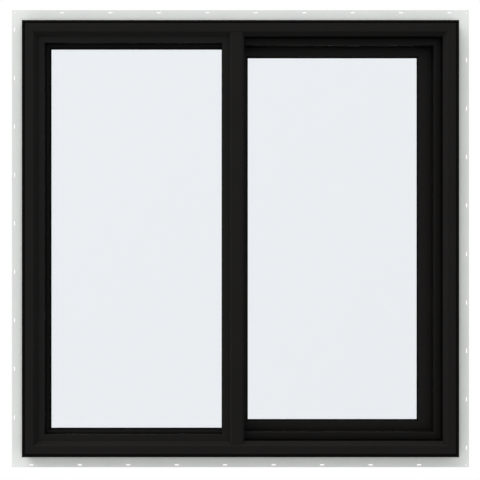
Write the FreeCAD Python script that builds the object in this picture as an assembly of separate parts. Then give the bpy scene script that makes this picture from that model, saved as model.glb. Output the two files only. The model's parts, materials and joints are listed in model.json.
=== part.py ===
import FreeCAD, Part
import math
import os

# Horizontal sliding window for a framed wall.
# A square plastic frame with a nail fin holds a fixed panel on the left,
# seen from outside, and a sash on the right that slides behind it.
# Millimetres. +X is right as seen from outside, the outside faces -Y, +Z is up.
# The origin is on the back of the sill's nail fin, below the frame's middle.
# In the profiles, u runs inward from the frame's outer edge and
# v runs from the frame's outside face towards the room.

V = FreeCAD.Vector

# Overall frame
frame_width = 901.7
frame_height = 901.7
frame_depth = 86.0
fin_setback = 35.0

# Fits
seat_clearance = 0.3
running_clearance = 5.0
guide_clearance = 0.4
pile_clearance = 0.3

# Outside lip of the frame
edge_land = 3.0
edge_drop = 1.0
edge_radius = 0.4
edge_groove_width = 3.7
edge_groove_drop = 7.5
face_width = 17.0
face_edge_radius = 1.5
bevel_width = 8.8
bevel_depth = 9.0

# Pockets and legs of the frame
lip_thickness = 0.7
pocket_floor = 20.0
leg_thickness = 2.5
leg_reach = 40.0
track_floor = 16.0
track_extra_depth = 0.5
inner_leg_thickness = 4.0
inner_leg_overlap = 12.0
leg_edge_radius = 1.5

# Nail fin
fin_width = 28.0
fin_thickness = 1.6
fin_score_from_wall = 9.0
fin_score_width = 1.2
fin_score_depth = 0.4
slot_length = 9.5
slot_width = 3.5
slot_pitch = 101.6
slot_from_edge = 4.85
slot_shift = 32.0

# Fixed panel
panel_face_width = 13.0
panel_edge_radius = 1.5
panel_back_thickness = 3.0
bead_width = 7.0
bead_depth = 5.0
bead_edge_radius = 1.0
bead_slope = 3.0
bead_joint_width = 1.0
bead_joint_depth = 2.0
gasket_width = 3.3
gasket_depth = 0.9
gasket_at_mullion = 1.0
pane_thickness = 3.0
pane_gap = 6.0
spacer_width = 6.0

# Fixed meeting stile between panel and sash
mullion_left = -38.5
mullion_right = 7.7
mullion_flange_width = 14.7
mullion_groove_width = 0.9
mullion_groove_depth = 2.0
mullion_front = 1.3
mullion_bevel_width = 4.5
mullion_bevel_depth = 3.5
mullion_edge_radius = 1.2
glass_bite = 7.0

# Cover of the empty pocket on the sash side
cover_hook = 8.0
cover_face_width = 17.8
cover_face_depth = 21.0
cover_face_slope = 0.8
cover_groove_depth = 8.0
cover_radius = 2.5
cover_outer_radius = 2.5
cover_foot_radius = 0.8

# Sash
sash_thickness = 24.0
sash_bar_width = 43.5
sash_lift_gap = 6.0
sash_side_gap = 15.0
sash_meeting_edge = 12.6
sash_stop_thickness = 3.5
sash_stop_width = 7.5
sash_stop_radius = 1.2
sash_gasket_depth = 1.5
sash_gasket_reach = 3.0
sash_bead_depth = 5.5
sash_bead_chamfer = 2.5
sash_channel_depth = 20.0
sash_channel_wall = 3.5
pull_lip_thickness = 4.0
pull_lip_depth = 10.0
pull_lip_from_edge = 2.0

# Sill rail, rollers and head guide
rail_base_width = 6.0
rail_base_height = 4.0
rail_engagement = 2.0
rail_head_width = 3.0
wheel_radius = 9.5
wheel_groove_depth = 1.5
wheel_width = 8.0
wheel_groove_width = 4.0
axle_radius = 1.5
axle_clearance = 0.1
roller_block_length = 46.0
roller_block_rise = 3.0
roller_from_end = 92.0
wheel_side_gap = 0.7
wheel_end_gap = 2.0
guide_fin_thickness = 3.0
guide_engagement = 8.0
guide_tip_gap = 1.0
guide_shoe_length = 40.0
guide_shoe_drop = 2.0

# Seals, stops and lock
pile_width = 5.0
pile_from_reach = 1.0
pile_end_gap = 1.0
stop_block_length = 30.0
stop_block_from_corner = 60.0
stop_clearance = 5.5
lock_base_length = 72.0
lock_base_width = 18.0
lock_base_height = 6.0
lock_edge_radius = 2.5
lever_length = 44.0
lever_width = 11.0
lever_thickness = 5.0
lever_hub_radius = 8.0
lever_gap = 0.3
keeper_length = 60.0
keeper_width = 6.0
keeper_thickness = 2.5
keeper_from_edge = 1.0

# How far cutting tools run past what they cut
cut_margin = 1.0

# Places worked out from the sizes above
half_width = frame_width / 2
middle_height = frame_height / 2
groove_end = edge_land + edge_groove_width
bevel_start = groove_end + face_width
bevel_end = bevel_start + bevel_width
track_back = frame_depth - inner_leg_thickness
sash_back = track_back - running_clearance - track_extra_depth
sash_front = sash_back - sash_thickness
sash_middle = (sash_front + sash_back) / 2
leg_back = sash_front - running_clearance
leg_front = leg_back - leg_thickness
lip_back = bevel_depth + lip_thickness
panel_front = lip_back + seat_clearance
panel_back = leg_front - seat_clearance
panel_outer = pocket_floor + seat_clearance
panel_inner = bevel_end + panel_face_width
unit_thickness = 2 * pane_thickness + pane_gap
panel_stop_front = panel_back - panel_back_thickness
glass_back_fixed = panel_stop_front - seat_clearance
glass_front_fixed = glass_back_fixed - unit_thickness
bead_back = glass_front_fixed - gasket_depth
bead_front = bead_back - bead_depth
bead_inner = panel_inner + bead_width
glass_edge = panel_inner + seat_clearance
gasket_inner = bead_inner + gasket_width
flange_right = mullion_left + mullion_flange_width
raised_left = flange_right + mullion_groove_width
fixed_glass_right = mullion_left + glass_bite
fixed_glass_left = -half_width + glass_edge
cover_reach = leg_reach + cover_hook
cover_face_from = cover_reach - cover_face_width
cover_face_drop = leg_front - cover_face_depth
cover_groove_drop = leg_front - cover_groove_depth
sash_edge_top = track_floor + sash_lift_gap
sash_edge_side = track_floor + sash_side_gap
inner_leg_reach = sash_edge_top + inner_leg_overlap
sash_right = half_width - sash_edge_side
sash_left = sash_meeting_edge - sash_bar_width
sash_bottom = sash_edge_top
sash_top = frame_height - sash_edge_top
sash_travel = sash_left + sash_right
sash_stop_back = sash_front + sash_stop_thickness
sash_glass_front = sash_stop_back + sash_gasket_depth
sash_glass_back = sash_glass_front + unit_thickness
sash_rebate = sash_bar_width - sash_stop_width
sash_glass_edge = sash_rebate + seat_clearance
channel_front = sash_front + sash_channel_wall
channel_back = sash_back - sash_channel_wall
rail_top = sash_edge_top + rail_engagement
guide_fin_reach = sash_edge_top + guide_engagement
wheel_axis_height = rail_top + pile_clearance + wheel_radius - wheel_groove_depth


def corner(point, into, out_of, radius):
    """Three points of an arc that rounds a corner between two neighbours."""
    p = V(*point, 0)
    a = (V(*into, 0) - p).normalize()
    b = (V(*out_of, 0) - p).normalize()
    half_turn = a.getAngle(b) / 2
    back = radius / math.tan(half_turn)
    middle = p + (a + b).normalize() * (radius / math.sin(half_turn) - radius)
    return [p + a * back, middle, p + b * back]


def outline(points):
    """Edges of a closed (u, v) outline. A third number on a point rounds that corner."""
    runs = []
    count = len(points)
    for i, point in enumerate(points):
        if len(point) == 3:
            before = points[i - 1][:2]
            after = points[(i + 1) % count][:2]
            runs.append(corner(point[:2], before, after, point[2]))
        else:
            runs.append([V(*point, 0)])
    edges = []
    for i, run in enumerate(runs):
        if len(run) == 3:
            edges.append(("arc", run))
        edges.append(("line", [run[-1], runs[(i + 1) % count][0]]))
    return edges


def section(points, place):
    """Face of a (u, v) outline, with each point placed in space by a function."""
    edges = []
    for kind, run in outline(points):
        placed = [place(p.x, p.y) for p in run]
        if kind == "arc":
            edges.append(Part.Arc(*placed).toShape())
        else:
            edges.append(Part.LineSegment(*placed).toShape())
    return Part.Face(Part.Wire(edges))


def box(x0, x1, v0, v1, z0, z1):
    """Box between two x, two depths behind the outside face, and two heights."""
    return Part.makeBox(x1 - x0, v1 - v0, z1 - z0, V(x0, v0 - fin_setback, z0))


class Rectangle:
    """Rectangle in the window's plane whose four sides carry mitred bars."""

    def __init__(self, left, right, bottom, top):
        self.left = left
        self.right = right
        self.bottom = bottom
        self.top = top

    def side(self, name):
        """Start corner, direction along the side and direction inward."""
        if name == "bottom":
            return V(self.right, 0, self.bottom), V(-1, 0, 0), V(0, 0, 1)
        if name == "top":
            return V(self.left, 0, self.top), V(1, 0, 0), V(0, 0, -1)
        if name == "left":
            return V(self.left, 0, self.bottom), V(0, 0, 1), V(1, 0, 0)
        return V(self.right, 0, self.top), V(0, 0, -1), V(-1, 0, 0)

    def length(self, name):
        if name in ("bottom", "top"):
            return self.right - self.left
        return self.top - self.bottom

    def bar(self, name, points):
        """Bar of one section along a side, mitred at 45 degrees at both ends."""
        start, along, inward = self.side(name)
        length = self.length(name)
        depth = V(0, 1, 0)
        us = [p[0] for p in points]
        vs = [p[1] for p in points]
        low = min(us) - cut_margin
        high = max(us) + cut_margin
        front = min(vs) - cut_margin - fin_setback

        def place(u, v):
            return start + along * low + inward * u + depth * (v - fin_setback)

        run = section(points, place).extrude(along * (length - 2 * low))
        corners = [(low, low), (length - low, low), (length - high, high), (high, high)]
        placed = [start + along * s + inward * u + depth * front for s, u in corners]
        placed.append(placed[0])
        prism_depth = max(vs) - min(vs) + 2 * cut_margin
        prism = Part.Face(Part.makePolygon(placed)).extrude(depth * prism_depth)
        return run.common(prism)


SIDES = ("top", "bottom", "left", "right")
frame_edge = Rectangle(-half_width, half_width, 0.0, frame_height)
panel_edge = Rectangle(-half_width, mullion_left + panel_inner, 0.0, frame_height)
long_panel_edge = Rectangle(-half_width, half_width, 0.0, frame_height)
sash_edge = Rectangle(sash_left, sash_right, sash_bottom, sash_top)


def frame_profile():
    return [
        (0.0, edge_drop, edge_radius),
        (edge_land, edge_drop),
        (edge_land, edge_groove_drop),
        (groove_end, edge_groove_drop),
        (groove_end, 0.0, face_edge_radius),
        (bevel_start, 0.0, 2 * face_edge_radius),
        (bevel_end, bevel_depth),
        (bevel_end, lip_back),
        (pocket_floor, lip_back),
        (pocket_floor, leg_front),
        (leg_reach, leg_front),
        (leg_reach, leg_back),
        (track_floor, leg_back),
        (track_floor, track_back),
        (inner_leg_reach, track_back, leg_edge_radius / 2),
        (inner_leg_reach, frame_depth, leg_edge_radius),
        (0.0, frame_depth),
    ]


def fin_profile():
    front = fin_setback - fin_thickness
    score_end = -fin_score_from_wall
    score_start = score_end - fin_score_width
    return [
        (-fin_width, front),
        (score_start, front),
        (score_start, front + fin_score_depth),
        (score_end, front + fin_score_depth),
        (score_end, front),
        (0.0, front),
        (0.0, fin_setback),
        (-fin_width, fin_setback),
    ]


def slot_cutter(centre, along):
    """Rounded slot through the nail fin, long way along the fin."""
    half = slot_length / 2 - slot_width / 2
    radius = slot_width / 2
    across = V(0, 1, 0).cross(along)
    low = centre + V(0, -2 * fin_thickness, 0)
    a = low - along * half + across * radius
    b = low + along * half + across * radius
    c = low + along * half - across * radius
    d = low - along * half - across * radius
    edges = [
        Part.LineSegment(a, b).toShape(),
        Part.Arc(b, low + along * (half + radius), c).toShape(),
        Part.LineSegment(c, d).toShape(),
        Part.Arc(d, low - along * (half + radius), a).toShape(),
    ]
    return Part.Face(Part.Wire(edges)).extrude(V(0, 4 * fin_thickness, 0))


def slot_places(name):
    """Centres of a fin's slots, and the direction they run in."""
    out_x = half_width + fin_width - slot_from_edge
    out_z = middle_height + fin_width - slot_from_edge
    sign = 1 if name in ("top", "left") else -1
    half_run = middle_height if name in ("left", "right") else half_width
    count = int((half_run + fin_width) // slot_pitch) + 1
    places = []
    for k in range(-count, count + 1):
        s = sign * (slot_shift + slot_pitch * k)
        if abs(s) + slot_width / 2 > half_run + fin_width:
            continue
        if name in ("top", "bottom"):
            z = middle_height + (out_z if name == "top" else -out_z)
            places.append(V(s, 0, z))
        else:
            places.append(V(out_x if name == "right" else -out_x, 0, middle_height + s))
    return places, V(1, 0, 0) if name in ("top", "bottom") else V(0, 0, 1)


def nail_fin(name):
    fin = frame_edge.bar(name, fin_profile())
    places, along = slot_places(name)
    return fin.cut([slot_cutter(p, along) for p in places])


def panel_profile():
    return [
        (panel_outer, panel_front),
        (panel_inner, panel_front, panel_edge_radius),
        (panel_inner, panel_stop_front),
        (bead_inner, panel_stop_front, bead_edge_radius),
        (bead_inner, panel_back),
        (panel_outer, panel_back),
    ]


def bead_profile():
    """Glazing bead that slopes to the glass, with a fine joint against the panel."""
    outer = panel_inner + seat_clearance
    return [
        (outer + bead_joint_width, bead_front),
        (bead_inner, bead_front + bead_slope, bead_edge_radius),
        (bead_inner, bead_back),
        (outer, bead_back),
        (outer, bead_front + bead_joint_depth),
        (outer + bead_joint_width, bead_front + bead_joint_depth),
    ]


def mullion_profile():
    """Section across the mullion: here u is x, and v is depth as elsewhere."""
    groove_bottom = panel_front + mullion_groove_depth
    return [
        (mullion_left, panel_front, panel_edge_radius),
        (flange_right, panel_front),
        (flange_right, groove_bottom),
        (raised_left, groove_bottom),
        (raised_left, mullion_front + mullion_bevel_depth),
        (raised_left + mullion_bevel_width, mullion_front, mullion_edge_radius),
        (mullion_right - mullion_bevel_width, mullion_front, mullion_edge_radius),
        (mullion_right, mullion_front + mullion_bevel_depth),
        (mullion_right, leg_back),
        (mullion_left, leg_back),
        (mullion_left, panel_stop_front),
        (fixed_glass_right + seat_clearance, panel_stop_front),
        (fixed_glass_right + seat_clearance, bead_back),
        (mullion_left, bead_back),
    ]


def centre_mullion(neighbours):
    bottom = pocket_floor + seat_clearance
    top = frame_height - bottom

    def place(u, v):
        return V(u, v - fin_setback, bottom)

    bar = section(mullion_profile(), place).extrude(V(0, 0, top - bottom))
    bar = bar.cut(neighbours)
    return largest(bar.cut(keeper(seat_clearance)))


def largest(shape):
    return max(shape.Solids, key=lambda solid: solid.Volume)


def panel_rail(name):
    """Rail or stile of the fixed panel. The rails end against the mullion."""
    return panel_edge.bar(name, panel_profile())


def panel_bead(name):
    bead = panel_edge.bar(name, bead_profile())
    if name == "left":
        return bead
    return long_panel_edge.bar(name, bead_profile()).common(left_of_mullion())


def left_of_mullion():
    """Block that trims what ends square against the mullion's left side."""
    return box(-half_width, mullion_left, 0.0, frame_depth, 0.0, frame_height)


def pane(left, right, bottom, top, front):
    return box(left, right, front, front + pane_thickness, bottom, top)


def spacer_ring(left, right, bottom, top, front):
    outer = box(left, right, front, front + pane_gap, bottom, top)
    inner = box(
        left + spacer_width, right - spacer_width,
        front - cut_margin, front + pane_gap + cut_margin,
        bottom + spacer_width, top - spacer_width,
    )
    return outer.cut(inner)


def strip_ring(outer, inner, front, back):
    """Flat ring between two (left, right, bottom, top) rectangles."""
    ring = box(outer[0], outer[1], front, back, outer[2], outer[3])
    hole = box(
        inner[0], inner[1], front - cut_margin, back + cut_margin, inner[2], inner[3],
    )
    return ring.cut(hole)


def fixed_glass():
    place = (fixed_glass_left, fixed_glass_right, glass_edge, frame_height - glass_edge)
    middle = glass_front_fixed + pane_thickness
    outer = pane(*place, glass_front_fixed)
    inner = pane(*place, middle + pane_gap)
    spacer = spacer_ring(*place, middle)
    gasket_hole = (
        -half_width + gasket_inner, mullion_left - gasket_at_mullion,
        gasket_inner, frame_height - gasket_inner,
    )
    gasket = strip_ring(place, gasket_hole, bead_back, glass_front_fixed)
    return outer, inner, spacer, gasket


def cover_profile():
    return [
        (panel_outer, cover_groove_drop),
        (cover_face_from, cover_groove_drop),
        (cover_face_from, cover_face_drop + cover_face_slope, cover_outer_radius),
        (cover_reach, cover_face_drop, cover_radius),
        (cover_reach, leg_back, cover_foot_radius),
        (leg_reach + seat_clearance, leg_back),
        (leg_reach + seat_clearance, panel_back),
        (panel_outer, panel_back),
    ]


def track_cover(name):
    cover = frame_edge.bar(name, cover_profile())
    if name == "right":
        return cover
    side = mullion_right + seat_clearance
    return cover.common(box(side, half_width, 0.0, frame_depth, 0.0, frame_height))


def sash_profile():
    return [
        (0.0, sash_front, sash_stop_radius),
        (sash_bar_width, sash_front, sash_stop_radius),
        (sash_bar_width, sash_stop_back),
        (sash_rebate, sash_stop_back),
        (sash_rebate, sash_back),
        (0.0, sash_back, sash_stop_radius),
    ]


def sash_channels():
    """Channels in the sash's top and bottom edges for the guide and the rail."""
    low = box(
        sash_left - cut_margin, sash_right + cut_margin, channel_front, channel_back,
        sash_bottom - cut_margin, sash_bottom + sash_channel_depth,
    )
    high = box(
        sash_left - cut_margin, sash_right + cut_margin, channel_front, channel_back,
        sash_top - sash_channel_depth, sash_top + cut_margin,
    )
    return [low, high]


def sash_bar(name):
    return sash_edge.bar(name, sash_profile()).cut(sash_channels())


def pull_stile():
    """Stile at the jamb, with the grip lip that the hand pushes, on the room side."""
    stile = sash_bar("right")
    start = sash_right - sash_rebate + pull_lip_from_edge
    low = sash_bottom + sash_bar_width
    high = sash_top - sash_bar_width
    root = sash_back - cut_margin
    tip = sash_back + pull_lip_depth
    lip = box(start, start + pull_lip_thickness, root, tip, low, high)
    tip_face = tip - fin_setback
    rim = [e for e in lip.Edges if e.BoundBox.YMin > tip_face - seat_clearance]
    lip = lip.makeFillet(pull_lip_thickness / 3, rim)
    return stile.fuse(lip).removeSplitter()


def sash_bead_profile():
    inner = sash_bar_width
    front = sash_glass_back + seat_clearance
    back = front + sash_bead_depth
    return [
        (sash_rebate + seat_clearance, front),
        (inner, front),
        (inner, back - sash_bead_chamfer),
        (inner - sash_bead_chamfer, back),
        (sash_rebate + seat_clearance, back),
    ]


def sash_glass():
    left = sash_left + sash_glass_edge
    right = sash_right - sash_glass_edge
    bottom = sash_bottom + sash_glass_edge
    top = sash_top - sash_glass_edge
    place = (left, right, bottom, top)
    middle = sash_glass_front + pane_thickness
    outer = pane(*place, sash_glass_front)
    inner = pane(*place, middle + pane_gap)
    spacer = spacer_ring(*place, middle)
    sight = sash_bar_width + sash_gasket_reach
    hole = (sash_left + sight, sash_right - sight, sash_bottom + sight, sash_top - sight)
    gasket = strip_ring(place, hole, sash_stop_back, sash_glass_front)
    return outer, inner, spacer, gasket


def roller_centres():
    return (sash_left + roller_from_end, sash_right - roller_from_end)


def cylinder_y(x, z, radius, width):
    """Cylinder along Y, centred on the middle of the sash's thickness."""
    y = sash_middle - fin_setback - width / 2
    return Part.makeCylinder(radius, width, V(x, y, z), V(0, 1, 0))


def roller_wheel(x):
    z = wheel_axis_height
    wheel = cylinder_y(x, z, wheel_radius, wheel_width)
    outer = cylinder_y(x, z, wheel_radius + cut_margin, wheel_groove_width)
    core = cylinder_y(x, z, wheel_radius - wheel_groove_depth, wheel_groove_width)
    axle = cylinder_y(x, z, axle_radius, channel_back - channel_front - 2 * seat_clearance)
    return wheel.cut(outer.cut(core)).fuse(axle).removeSplitter()


def roller_housing(x):
    half = roller_block_length / 2
    block = box(
        x - half, x + half,
        channel_front + seat_clearance, channel_back - seat_clearance,
        sash_bottom + roller_block_rise, sash_bottom + sash_channel_depth - seat_clearance,
    )
    slot_half = wheel_width / 2 + wheel_side_gap
    slot = box(
        x - wheel_radius - wheel_end_gap, x + wheel_radius + wheel_end_gap,
        sash_middle - slot_half, sash_middle + slot_half,
        sash_bottom - cut_margin, sash_bottom + sash_channel_depth + cut_margin,
    )
    rail_way = rail_head_width / 2 + 2 * guide_clearance
    way = box(
        x - half - cut_margin, x + half + cut_margin,
        sash_middle - rail_way, sash_middle + rail_way,
        sash_bottom - cut_margin, rail_top + running_clearance / 2,
    )
    bore = cylinder_y(x, wheel_axis_height, axle_radius + axle_clearance, sash_thickness)
    return block.cut([slot, way, bore])


def guide_shoe(x):
    half = guide_shoe_length / 2
    bottom = sash_top - sash_channel_depth + seat_clearance
    top = sash_top - guide_shoe_drop
    block = box(
        x - half, x + half,
        channel_front + seat_clearance, channel_back - seat_clearance, bottom, top,
    )
    slot_half = guide_fin_thickness / 2 + guide_clearance
    slot = box(
        x - half - cut_margin, x + half + cut_margin,
        sash_middle - slot_half, sash_middle + slot_half,
        frame_height - guide_fin_reach - guide_tip_gap, top + cut_margin,
    )
    return block.cut(slot)


def sill_rail():
    half = half_width - track_floor - seat_clearance
    base_top = track_floor + rail_base_height
    base = box(
        -half, half, sash_middle - rail_base_width / 2, sash_middle + rail_base_width / 2,
        track_floor, base_top,
    )
    radius = rail_head_width / 2
    head = box(-half, half, sash_middle - radius, sash_middle + radius, base_top, rail_top - radius)
    y = sash_middle - fin_setback
    bead = Part.makeCylinder(radius, 2 * half, V(-half, y, rail_top - radius), V(1, 0, 0))
    return base.fuse([head, bead]).removeSplitter()


def head_guide():
    half = half_width - track_floor - seat_clearance
    return box(
        -half, half,
        sash_middle - guide_fin_thickness / 2, sash_middle + guide_fin_thickness / 2,
        frame_height - guide_fin_reach, frame_height - track_floor,
    )


def pile_seals():
    """Brush strips on the covers and the mullion that wipe the sash's outside face."""
    front = leg_back
    back = sash_front - pile_clearance
    outer = cover_reach - pile_from_reach - pile_width
    inner = cover_reach - pile_from_reach
    left = mullion_right + pile_end_gap
    right = half_width - inner
    low = box(left, right - pile_end_gap, front, back, outer, inner)
    high = box(left, right - pile_end_gap, front, back, frame_height - inner, frame_height - outer)
    jamb = box(right, half_width - outer, front, back, outer, frame_height - outer)
    middle = box(
        mullion_right - pile_from_reach - pile_width, mullion_right - pile_from_reach,
        front, back, cover_reach, frame_height - cover_reach,
    )
    return Part.makeCompound([low, high, jamb, middle])


def track_stops():
    """Soft blocks on both jambs of the inner track, where the sash comes to rest."""
    reach = sash_edge_side - stop_clearance
    blocks = []
    for low in (stop_block_from_corner, frame_height - stop_block_from_corner - stop_block_length):
        for x0, x1 in (
            (-half_width + track_floor, -half_width + reach),
            (half_width - reach, half_width - track_floor),
        ):
            block = box(
                x0, x1, channel_front, channel_back, low, low + stop_block_length,
            )
            blocks.append(block)
    return Part.makeCompound(blocks)


def keeper(grow=0.0):
    """Lock keeper let in flush with the mullion's room side."""
    x0 = mullion_left + keeper_from_edge
    half = keeper_length / 2 + grow
    return box(
        x0 - grow, x0 + keeper_width + grow,
        leg_back - keeper_thickness - grow, leg_back + 3 * grow,
        middle_height - half, middle_height + half,
    )


def lock_centre():
    return (sash_left + sash_meeting_edge) / 2


def lock_base():
    x = lock_centre()
    base = box(
        x - lock_base_width / 2, x + lock_base_width / 2,
        sash_back, sash_back + lock_base_height,
        middle_height - lock_base_length / 2, middle_height + lock_base_length / 2,
    )
    edges = [e for e in base.Edges if abs(e.tangentAt(0).y) > 0.9]
    base = base.makeFillet(lock_edge_radius, edges)
    room_face = sash_back + lock_base_height - fin_setback
    rim = [e for e in base.Edges if e.BoundBox.YMin > room_face - seat_clearance]
    return base.makeFillet(lock_edge_radius / 2, rim)


def lock_lever():
    x = lock_centre()
    y = sash_back + lock_base_height + lever_gap - fin_setback
    hub = Part.makeCylinder(lever_hub_radius, lever_thickness, V(x, y, middle_height), V(0, 1, 0))
    arm = Part.makeBox(
        lever_width, lever_thickness, lever_length,
        V(x - lever_width / 2, y, middle_height),
    )
    tip = [e for e in arm.Edges if abs(e.tangentAt(0).y) > 0.9 and e.BoundBox.ZMin > middle_height]
    arm = arm.makeFillet(lever_width / 3, tip)
    lever = hub.fuse(arm).removeSplitter()
    room_face = y + lever_thickness
    rim = [e for e in lever.Edges if e.BoundBox.YMin > room_face - seat_clearance]
    return lever.makeFillet(lever_thickness / 5, rim)


def save(name, shape):
    shape.exportStep("parts/" + name + ".step")


def build_frame():
    head = frame_edge.bar("top", frame_profile())
    sill = frame_edge.bar("bottom", frame_profile())
    save("frame_head", head)
    save("frame_sill", sill)
    save("frame_jamb_left", frame_edge.bar("left", frame_profile()))
    save("frame_jamb_right", frame_edge.bar("right", frame_profile()))
    for side, name in (("top", "head"), ("bottom", "sill"), ("left", "left"), ("right", "right")):
        save("nail_fin_" + name, nail_fin(side))
    return head, sill


def build_fixed_panel(head, sill):
    top_rail = panel_rail("top")
    bottom_rail = panel_rail("bottom")
    save("fixed_panel_top_rail", top_rail)
    save("fixed_panel_bottom_rail", bottom_rail)
    save("fixed_panel_side_stile", panel_rail("left"))
    save("centre_mullion", centre_mullion([head, sill, top_rail, bottom_rail]))
    for side in ("top", "bottom", "left"):
        save("fixed_bead_" + side, panel_bead(side))
    outer, inner, spacer, gasket = fixed_glass()
    save("fixed_glass_outer_pane", outer)
    save("fixed_glass_inner_pane", inner)
    save("fixed_glass_spacer", spacer)
    save("fixed_glass_gasket", gasket)


def build_tracks():
    for side, name in (("top", "head"), ("bottom", "sill"), ("right", "jamb")):
        save("track_cover_" + name, track_cover(side))
    save("sill_rail", sill_rail())
    save("head_guide", head_guide())
    save("pile_seals", pile_seals())
    save("track_stops", track_stops())
    save("lock_keeper", keeper())


def build_sash():
    save("sash_top_rail", sash_bar("top"))
    save("sash_bottom_rail", sash_bar("bottom"))
    save("sash_meeting_stile", sash_bar("left"))
    save("sash_pull_stile", pull_stile())
    for side in SIDES:
        save("sash_bead_" + side, sash_edge.bar(side, sash_bead_profile()))
    outer, inner, spacer, gasket = sash_glass()
    save("sash_glass_outer_pane", outer)
    save("sash_glass_inner_pane", inner)
    save("sash_glass_spacer", spacer)
    save("sash_glass_gasket", gasket)
    save("roller_housings", Part.makeCompound([roller_housing(x) for x in roller_centres()]))
    save("roller_wheels", Part.makeCompound([roller_wheel(x) for x in roller_centres()]))
    save("head_guide_shoes", Part.makeCompound([guide_shoe(x) for x in roller_centres()]))
    save("sash_lock_base", lock_base())
    save("sash_lock_lever", lock_lever())


def main():
    os.makedirs("parts", exist_ok=True)
    head, sill = build_frame()
    build_fixed_panel(head, sill)
    build_tracks()
    build_sash()
    print("sash travel", round(sash_travel, 2))


main()
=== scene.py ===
"""Looks of a horizontal sliding window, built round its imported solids.

The solids carry every main shape. Here they get their finishes, and the brush seals and the screw
heads that the solids leave plain or leave out. Lengths are in metres.
+X is right as seen from outside, -Y is outside and +Z is up, as in the solids.
"""

import json
import math

import bmesh
import bpy
from bpy.props import FloatProperty, FloatVectorProperty, IntProperty, PointerProperty
from mathutils import Matrix, Vector

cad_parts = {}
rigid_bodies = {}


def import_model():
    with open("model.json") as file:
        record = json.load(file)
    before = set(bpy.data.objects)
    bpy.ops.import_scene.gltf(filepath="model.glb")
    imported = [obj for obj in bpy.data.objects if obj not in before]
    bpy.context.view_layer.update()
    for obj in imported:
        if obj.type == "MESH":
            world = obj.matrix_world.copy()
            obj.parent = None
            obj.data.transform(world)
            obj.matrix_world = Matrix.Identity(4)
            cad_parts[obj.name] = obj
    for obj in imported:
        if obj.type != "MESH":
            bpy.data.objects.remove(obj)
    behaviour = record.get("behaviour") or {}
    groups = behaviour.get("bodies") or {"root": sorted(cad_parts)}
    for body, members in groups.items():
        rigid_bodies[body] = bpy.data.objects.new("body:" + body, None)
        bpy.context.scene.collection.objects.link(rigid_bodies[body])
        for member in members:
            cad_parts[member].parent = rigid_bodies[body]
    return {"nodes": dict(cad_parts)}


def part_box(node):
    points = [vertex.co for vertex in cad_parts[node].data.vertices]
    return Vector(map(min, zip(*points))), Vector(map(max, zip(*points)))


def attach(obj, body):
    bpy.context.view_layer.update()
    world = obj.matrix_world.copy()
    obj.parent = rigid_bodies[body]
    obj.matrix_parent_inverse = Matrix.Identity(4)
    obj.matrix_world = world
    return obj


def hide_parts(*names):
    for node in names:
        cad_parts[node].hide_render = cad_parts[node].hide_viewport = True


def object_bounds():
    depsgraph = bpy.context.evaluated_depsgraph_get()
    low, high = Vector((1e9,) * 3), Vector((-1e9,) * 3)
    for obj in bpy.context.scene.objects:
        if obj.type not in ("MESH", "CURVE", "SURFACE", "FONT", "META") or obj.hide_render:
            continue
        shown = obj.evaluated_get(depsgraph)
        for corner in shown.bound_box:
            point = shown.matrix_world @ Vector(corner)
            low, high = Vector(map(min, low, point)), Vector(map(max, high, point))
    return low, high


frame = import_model()
cad_box = [list(corner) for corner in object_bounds()]

bl_info = {
    "name": "Horizontal sliding window",
    "version": (1, 0, 0),
    "blender": (4, 5, 0),
    "location": "3D View > Sidebar > Window",
    "description": "Dresses the window's solids and sets up a plain studio round them",
    "category": "Object",
}

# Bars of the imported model, by the rectangle whose mitres they share and by their direction
FRAME_BARS_ALONG = ["frame_head", "frame_sill"]
FRAME_BARS_UP = ["frame_jamb_left", "frame_jamb_right"]
COVER_BARS_ALONG = ["track_cover_head", "track_cover_sill"]
COVER_BARS_UP = ["track_cover_jamb"]
PANEL_BARS_ALONG = ["fixed_panel_top_rail", "fixed_panel_bottom_rail"]
PANEL_BARS_UP = ["fixed_panel_side_stile", "centre_mullion"]
FIXED_BEADS_ALONG = ["fixed_bead_top", "fixed_bead_bottom"]
FIXED_BEADS_UP = ["fixed_bead_left"]
SASH_BARS_ALONG = ["sash_top_rail", "sash_bottom_rail", "sash_bead_top", "sash_bead_bottom"]
SASH_BARS_UP = ["sash_meeting_stile", "sash_pull_stile", "sash_bead_left", "sash_bead_right"]

# Other nodes that share a finish
FINS = ["nail_fin_head", "nail_fin_sill", "nail_fin_left", "nail_fin_right"]
PANES = [
    "fixed_glass_outer_pane", "fixed_glass_inner_pane",
    "sash_glass_outer_pane", "sash_glass_inner_pane",
]
RUBBERS = ["fixed_glass_gasket", "sash_glass_gasket", "track_stops"]
SPACERS = ["fixed_glass_spacer", "sash_glass_spacer"]
ROLLER_BLOCKS = ["roller_housings", "head_guide_shoes"]
LOCK_PARTS = ["sash_lock_base", "sash_lock_lever"]
BARE_METALS = ["sill_rail", "lock_keeper"]

# Vertices nearer than this are one
MERGE_DISTANCE = 1e-6

# The way into the room
ROOM_SIDE = Vector((0.0, 1.0, 0.0))


class Wire:
    """A shader socket that takes part in arithmetic. Each operation adds its Math node."""

    def __init__(self, shading, socket):
        self.shading = shading
        self.socket = socket

    def __add__(self, other):
        return self.shading.maths("ADD", self, other)

    def __radd__(self, other):
        return self.shading.maths("ADD", other, self)

    def __sub__(self, other):
        return self.shading.maths("SUBTRACT", self, other)

    def __rsub__(self, other):
        return self.shading.maths("SUBTRACT", other, self)

    def __mul__(self, other):
        return self.shading.maths("MULTIPLY", self, other)

    def __rmul__(self, other):
        return self.shading.maths("MULTIPLY", other, self)

    def __abs__(self):
        return self.shading.maths("ABSOLUTE", self)


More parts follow.
